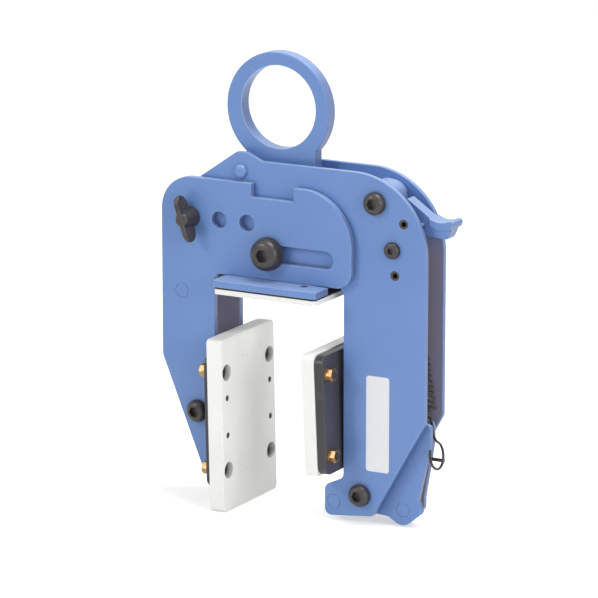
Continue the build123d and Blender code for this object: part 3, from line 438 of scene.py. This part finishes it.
def round_edges(piece, width):
    joined = piece.modifiers.new("join_corners", "NODES")
    joined.node_group = SOFTEN
    bevel = piece.modifiers.new("round_edges", "BEVEL")
    bevel.width = width * MM
    bevel.segments = BEVEL_SEGMENTS
    bevel.limit_method = "ANGLE"
    bevel.angle_limit = EDGE_ANGLE
    bevel.harden_normals = True
    bevel.use_clamp_overlap = False
    bevel.loop_slide = False


def dress_cad_nodes():
    """Gives each CAD node the material of its slot and, where that has one, the slot's edge round."""
    for subpart in frame["record"]["subparts"]:
        node, slot = frame["nodes"][subpart["node"]], subpart["material_slot"]
        node.data.materials.clear()
        node.data.materials.append(MATERIALS[slot])
        if slot in EDGE_ROUNDS and subpart["node"] not in ALREADY_ROUND:
            round_edges(node, EDGE_ROUNDS[slot])


# Springs: wires with the run of the CAD solids that they replace

WIRE_SIDES = 12
DOME = ((0.15, 0.97), (0.45, 0.66))  # how far beyond the wire's end and how wide, in its radii
HOOK_STEPS, BEND_STEPS, TURN_STEPS, LOOP_STEPS = 30, 8, 24, 32
TOP_LEG_STEPS, LOW_LEG_STEPS, LOOP_LEAD_STEPS = 4, 6, 8
LOCK_COIL_STEPS, LOCK_LEG_STEPS = 72, 6


def wire_mesh(name, points, radius):
    """Round wire along the points, with domed ends."""
    headings = [(b - a).normalized() for a, b in zip(points, points[1:])]
    middles = [(a + b).normalized() for a, b in zip(headings, headings[1:])]
    tangents = [headings[0], *middles, headings[-1]]
    normal = tangents[0].orthogonal().normalized()
    bm = bmesh.new()

    def ring(centre, tangent, size):
        side = tangent.cross(normal)
        return [bm.verts.new(centre + size * (math.cos(a) * normal + math.sin(a) * side))
                for a in steps(0, FULL_TURN, WIRE_SIDES)[:-1]]

    rings = [ring(points[0] - tangents[0] * radius * out, tangents[0], radius * size)
             for out, size in DOME]
    rings.reverse()
    for point, tangent in zip(points, tangents):
        normal = (normal - tangent * normal.dot(tangent)).normalized()
        rings.append(ring(point, tangent, radius))
    rings += [ring(points[-1] + tangents[-1] * radius * out, tangents[-1], radius * size)
              for out, size in DOME]
    for low, high in zip(rings, rings[1:]):
        for i in range(WIRE_SIDES):
            j = (i + 1) % WIRE_SIDES
            bm.faces.new((low[i], low[j], high[j], high[i]))
    bm.faces.new(rings[0][::-1])
    bm.faces.new(rings[-1])
    for face in bm.faces:
        face.smooth = True
    bmesh.ops.recalc_face_normals(bm, faces=bm.faces)
    mesh = bpy.data.meshes.new(name)
    bm.to_mesh(mesh)
    bm.free()
    piece = add_object(name, mesh)
    mesh.materials.append(MATERIALS["spring_steel"])
    return piece


def s_curve(start, heading, end, count):
    """Two equal arcs in one plane, from a point to one beside it, both along the heading."""
    step = end - start
    along, beside = step.dot(heading), step - heading * step.dot(heading)
    side, offset = beside.normalized(), beside.length
    radius = (along**2 + offset**2) / (4 * offset)
    turn = math.asin(along / 2 / radius)
    first = [start + side * radius * (1 - math.cos(t)) + heading * radius * math.sin(t)
             for t in steps(0, turn, count)]
    return first + [start + end - point for point in first[-2::-1]]


def coil_lead(span, bends, coil_r, turns):
    """Lead angle at which the turns, and the bends that join them to the legs, fill the span."""
    wound = FULL_TURN * coil_r * turns + bends
    return 2 * math.atan((math.sqrt(wound**2 + span**2 - bends**2) - wound) / (span + bends))


def tension_spring():
    """Hook on the anchor pin, leg, open coil, leg, and a round loop across the lever's plates."""
    anchor, foot, pivot = flat(115.3, -127.4), flat(143.4, -291.3), flat(84.3, -317.5)
    wire, coil, turns = 2.2 * MM, 13.6 * MM, 21
    top_leg, low_leg, bend_r = 16.0 * MM, 10.0 * MM, 4.5 * MM
    pin_d, loop_d, loop_lead, gap = 8.0 * MM, 23.0 * MM, 19.0 * MM, 0.3 * MM
    hook_sweep, loop_sweep, jaw_travel = math.radians(250), math.radians(212), math.radians(17)
    run = foot - anchor
    down, depth = run.normalized(), Vector((0, 1, 0))
    across = depth.cross(down)
    coil_r, top_r, loop_r = (coil - wire) / 2, (pin_d + wire) / 2 + gap, loop_d / 2
    loop_at = run.length - loop_r
    loop_top = loop_at - loop_lead
    low_turn = loop_top - low_leg
    lead = coil_lead(low_turn - top_leg, top_r + bend_r, coil_r, turns)
    pitch = FULL_TURN * coil_r * math.tan(lead)
    coil_start = top_leg + top_r * math.tan(math.pi / 4 + lead / 2)
    bend_turn = math.pi / 2 - lead
    top_bend, low_bend = top_r / (1 - math.sin(lead)), bend_r / (1 - math.sin(lead))

    def at(a, y, d):
        """Point across, behind and down from the anchor pin."""
        return anchor + across * a + depth * y + down * d

    points = [at(top_r * math.cos(a), 0, top_r * math.sin(a)) for a in steps(-hook_sweep, 0, HOOK_STEPS)]
    points += [at(top_r, 0, d) for d in steps(0, top_leg, TOP_LEG_STEPS)[1:-1]]
    points += [at(top_r - top_bend * (1 - math.cos(a)), 0, top_leg + top_bend * math.sin(a))
               for a in steps(0, bend_turn, BEND_STEPS)]
    points += [at(-coil_r * math.sin(a), coil_r * (1 - math.cos(a)), coil_start + pitch * a / FULL_TURN)
               for a in steps(0, FULL_TURN * turns, TURN_STEPS * turns)[1:]]
    points += [at(low_bend * (1 - math.cos(a)) - bend_r, 0, low_turn - low_bend * math.sin(a))
               for a in steps(bend_turn, 0, BEND_STEPS)[1:]]
    points += [at(-bend_r, 0, d) for d in steps(low_turn, loop_top, LOW_LEG_STEPS)[1:-1]]
    points += s_curve(at(-bend_r, 0, loop_top), down, at(-bend_r, loop_r, loop_at), LOOP_LEAD_STEPS)
    points += [at(-bend_r, loop_r * math.cos(a), loop_at + loop_r * math.sin(a))
               for a in steps(0, loop_sweep, LOOP_STEPS)[1:]]
    piece = wire_mesh("tension_spring_wire", points, wire / 2)
    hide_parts("tension_spring")
    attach(piece, "main_body")
    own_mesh(piece)


def lock_spring():
    """Torsion spring: a leg on the stay sleeve, a turn and more round the collar, a leg under the peg."""
    pivot, stay, peg = Vector((123.0, -83.6)), Vector((113.3, -106.2)), Vector((134.0, -85.0))
    collar_d, sleeve_d, peg_d, lever_thickness = 14.0, 14.0, 3.0, 12.0
    wire_r, gap, coil_gap, rise, spare = 0.55, 0.3, 0.7, 2.9, 1.5
    coil_r = collar_d / 2 + coil_gap + wire_r
    stay_r, peg_r = sleeve_d / 2 + gap + wire_r, peg_d / 2 + gap + wire_r
    front = -lever_thickness / 2 - gap - wire_r - rise

    def tangent(other, other_r, side):
        """Angle at which a leg leaves the coil to touch another round, and the leg's length."""
        way = other - pivot
        angle = math.atan2(way.y, way.x) + side * math.acos((coil_r - other_r) / way.length)
        unit = Vector((math.cos(angle), math.sin(angle)))
        return angle, (other + unit * other_r - pivot - unit * coil_r).length + spare

    def heading(angle):
        return Vector((-math.sin(angle), 0, math.cos(angle)))

    first, stay_leg = tangent(stay, stay_r, 1)
    last, peg_leg = tangent(peg, peg_r, -1)
    wrap = (last - first) % FULL_TURN + FULL_TURN

    def coil(share):
        a = first + wrap * share
        y = front + rise * (share - math.sin(FULL_TURN * share) / FULL_TURN)
        return flat(pivot.x + math.cos(a) * coil_r, pivot.y + math.sin(a) * coil_r, y)

    turn = [coil(share) for share in steps(0, 1, LOCK_COIL_STEPS)]
    start, end = heading(first), heading(first + wrap)
    points = [turn[0] - start * d * MM for d in steps(stay_leg, 0, LOCK_LEG_STEPS)[:-1]]
    points += turn
    points += [turn[-1] + end * d * MM for d in steps(0, peg_leg, LOCK_LEG_STEPS)[1:]]
    piece = wire_mesh("lock_spring_wire", points, wire_r * MM)
    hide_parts("lock_spring")
    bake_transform(piece)


# Floor and light

FLOOR_HALF, FLOOR_GAP = 15.0, 0.2 * MM
FLOOR_COLOUR, FLOOR_ROUGHNESS = rgb(0.82, 0.82, 0.82), 0.9
FLOOR_GLOW = 0.50  # what the floor's own light adds for the rays that see it
WORLD_COLOUR = rgb(1.0, 1.0, 1.0)
WORLD_LIGHT, WORLD_SEEN = 0.44, 1.0
LAMPS = {  # place and width in metres, power in watts
    "key": ((-1.5, -2.3, 1.5), 0.8, 27.0),
    "fill": ((2.6, -1.2, 0.6), 1.2, 24.0),
    "top": ((0.6, 0.1, 2.0), 1.0, 39.0),
}


def seen_rays(tree, unseen, seen):
    """Number that is seen for camera, mirror and glass rays and unseen for the rest."""
    path = tree.nodes.new("ShaderNodeLightPath")
    total = path.outputs["Is Camera Ray"]
    for name in ("Is Glossy Ray", "Is Transmission Ray"):
        more = tree.nodes.new("ShaderNodeMath")
        more.operation, more.use_clamp = "ADD", True
        tree.links.new(total, more.inputs[0])
        tree.links.new(path.outputs[name], more.inputs[1])
        total = more.outputs[0]
    span = tree.nodes.new("ShaderNodeMapRange")
    span.inputs["To Min"].default_value, span.inputs["To Max"].default_value = unseen, seen
    tree.links.new(total, span.inputs["Value"])
    return span.outputs["Result"]


def floor():
    """Pale floor under the foot, white to the camera, with the part's shadow on it."""
    half, height = FLOOR_HALF, cad_low.z - FLOOR_GAP
    corners = [(-half, -half, height), (half, -half, height), (half, half, height), (-half, half, height)]
    mesh = bpy.data.meshes.new("floor")
    mesh.from_pydata(corners, [], [(0, 1, 2, 3)])
    piece = add_object("floor", mesh)
    material = bpy.data.materials.new("pale_floor")
    material.use_nodes = True
    tree = material.node_tree
    surface, output = tree.nodes["Principled BSDF"], tree.nodes["Material Output"]
    surface.inputs["Base Color"].default_value = FLOOR_COLOUR
    surface.inputs["Roughness"].default_value = FLOOR_ROUGHNESS
    surface.inputs["Specular IOR Level"].default_value = 0.0
    glow, both = tree.nodes.new("ShaderNodeEmission"), tree.nodes.new("ShaderNodeAddShader")
    tree.links.new(seen_rays(tree, 0.0, FLOOR_GLOW), glow.inputs["Strength"])
    tree.links.new(surface.outputs[0], both.inputs[0])
    tree.links.new(glow.outputs[0], both.inputs[1])
    tree.links.new(both.outputs[0], output.inputs["Surface"])
    mesh.materials.append(material)


def world():
    """Soft light from all around, with a white background."""
    studio = bpy.data.worlds.new("studio")
    bpy.context.scene.world = studio
    studio.use_nodes = True
    tree = studio.node_tree
    background = tree.nodes["Background"]
    background.inputs["Color"].default_value = WORLD_COLOUR
    tree.links.new(seen_rays(tree, WORLD_LIGHT, WORLD_SEEN), background.inputs["Strength"])


def lights():
    """Soft square lamps that aim at the middle of the part."""
    middle = (cad_low + cad_high) / 2
    for name, (place, size, power) in LAMPS.items():
        data = bpy.data.lights.new(name, "AREA")
        data.shape, data.size, data.energy = "SQUARE", size, power
        lamp = add_object(name, data)
        lamp.location = place
        lamp.rotation_euler = (middle - Vector(place)).to_track_quat("-Z", "Y").to_euler()


photo_camera()
dress_cad_nodes()
tension_spring()
lock_spring()
floor()
world()
lights()
bpy.context.scene.view_settings.view_transform = "Standard"
